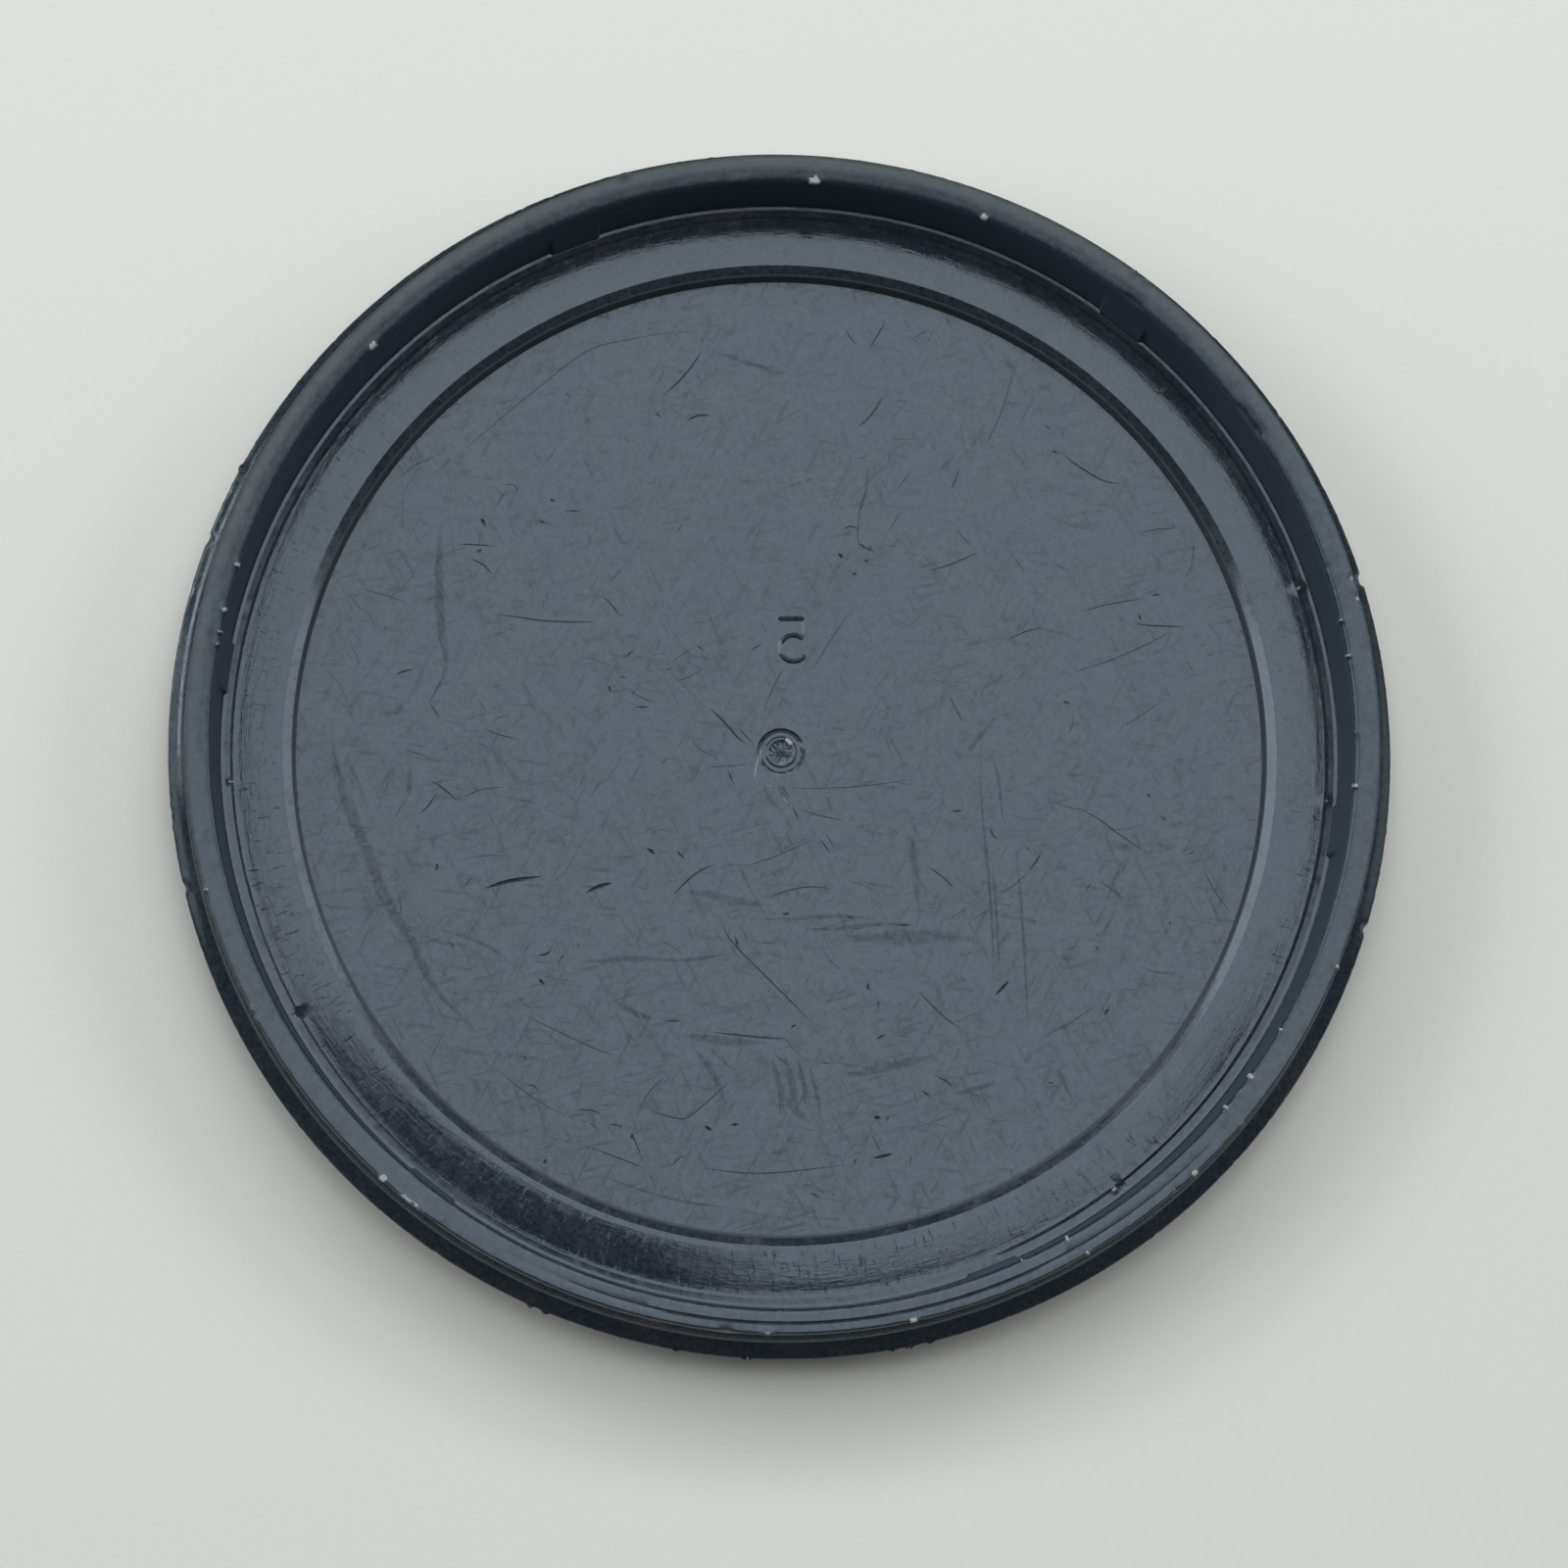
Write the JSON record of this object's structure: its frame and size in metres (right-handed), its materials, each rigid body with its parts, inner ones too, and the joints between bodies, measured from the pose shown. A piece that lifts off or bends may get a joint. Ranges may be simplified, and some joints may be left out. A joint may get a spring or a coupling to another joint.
{
  "type": "push-on lens cap",
  "caption": "Round black plastic push-on cap that covers the front of a camera lens, with a flanged skirt, an inner ledge and small grip ribs in its mouth.",
  "frame": {"origin": "centre of the flat front face, which the cap lies on", "axes": "+Z along the cap's axis, out of the mouth; +Y from the gate mark towards the mould-cavity numeral"},
  "size_m": [0.06, 0.06, 0.0062],
  "materials": {
    "cap_plastic": "worn gloss"
  },
  "bodies": {
    "root": {"lens_cap": "cap_plastic"}
  },
  "joints": []
}
